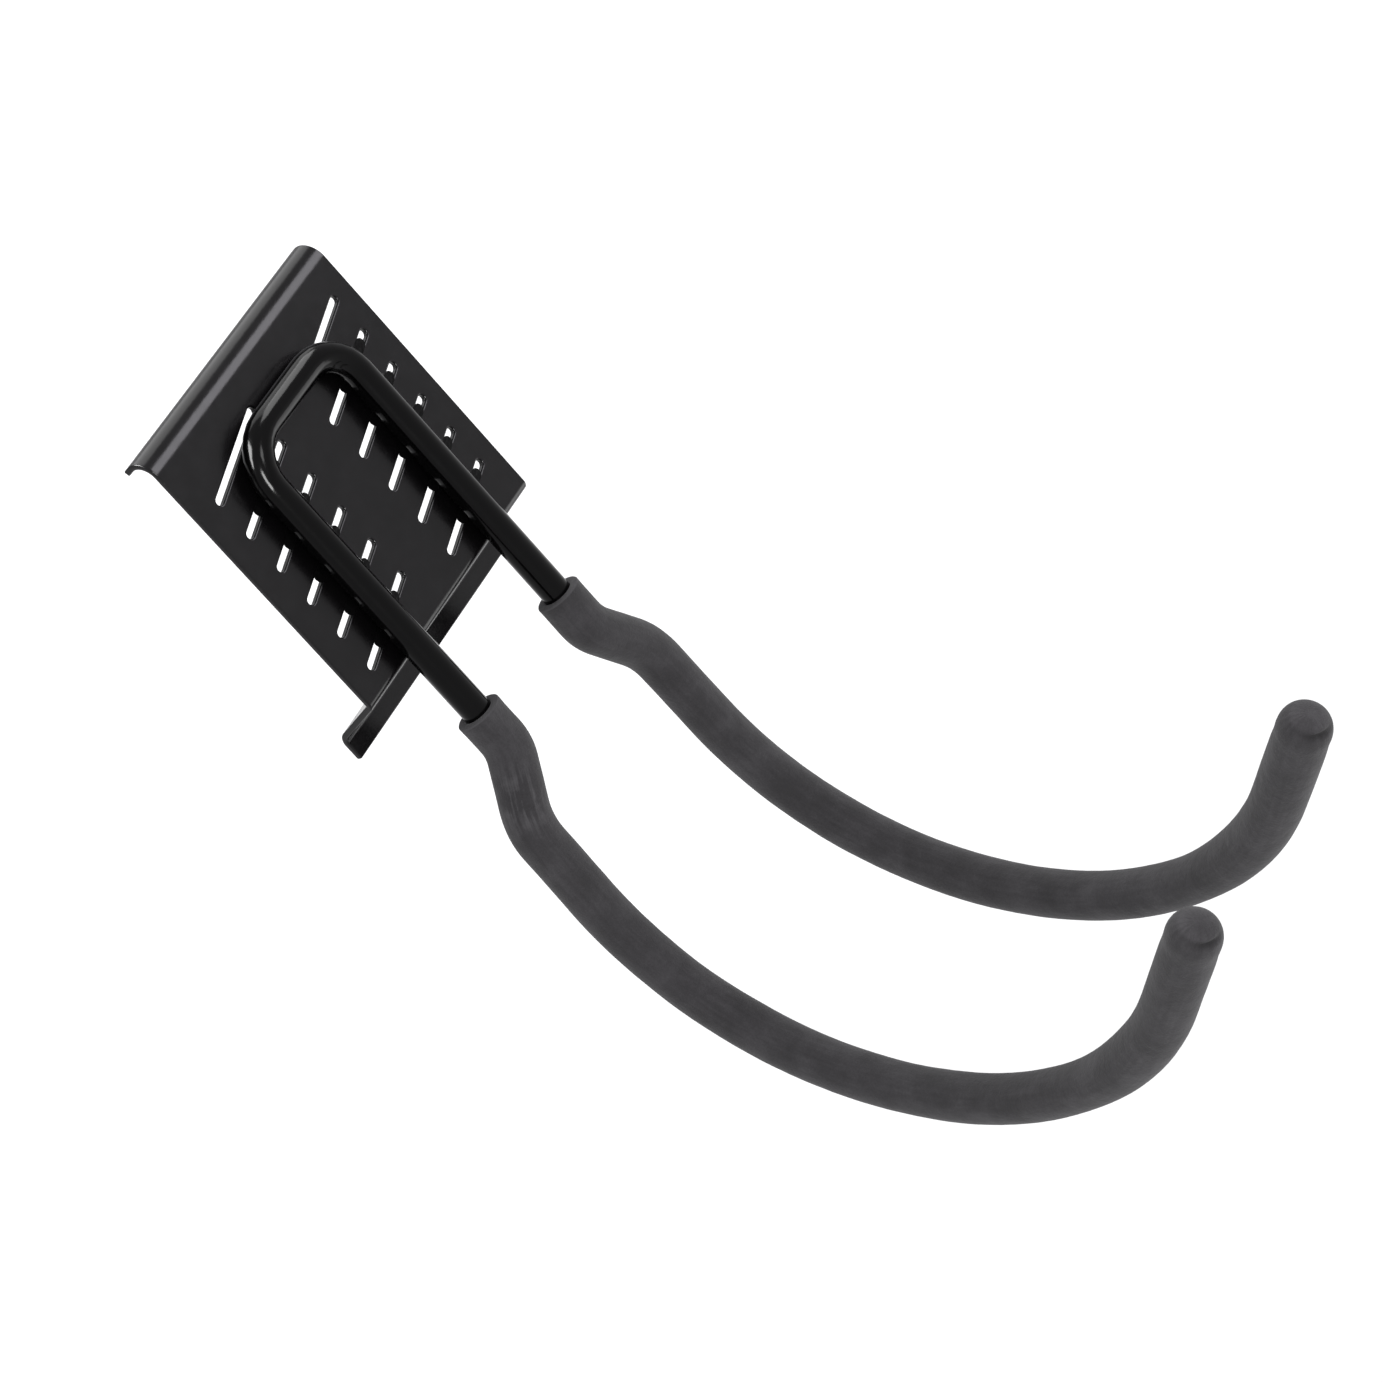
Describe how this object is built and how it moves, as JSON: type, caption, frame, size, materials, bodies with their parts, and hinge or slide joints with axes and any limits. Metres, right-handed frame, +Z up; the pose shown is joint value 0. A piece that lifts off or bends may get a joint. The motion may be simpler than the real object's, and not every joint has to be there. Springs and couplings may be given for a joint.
{
  "type": "bicycle wall hook",
  "caption": "Rigid wall hook that clips to a rail or slotted wall panel and holds a bicycle on two foam-covered arms.",
  "frame": {"origin": "middle of the back plate's rear face, which bears on the wall rail", "axes": "+X to the hook's right seen from the room, +Y into the wall, +Z up"},
  "size_m": [0.0998, 0.2317, 0.3063],
  "materials": {
    "plate_paint": "gloss black powder coat over pressed steel",
    "bar_paint": "gloss black powder coat over bent steel rod",
    "weld_paint": "black powder coat over a rough slot weld",
    "foam": "matt charcoal closed-cell foam with a fine skin"
  },
  "bodies": {
    "root": {"back_plate": "plate_paint", "wire_frame": "bar_paint", "foam_sleeve_left": "foam", "foam_sleeve_right": "foam", "slot_weld_left_1": "weld_paint", "slot_weld_left_2": "weld_paint", "slot_weld_left_3": "weld_paint", "slot_weld_left_4": "weld_paint", "slot_weld_left_5": "weld_paint", "slot_weld_right_1": "weld_paint", "slot_weld_right_2": "weld_paint", "slot_weld_right_3": "weld_paint", "slot_weld_right_4": "weld_paint", "slot_weld_right_5": "weld_paint"}
  },
  "joints": []
}
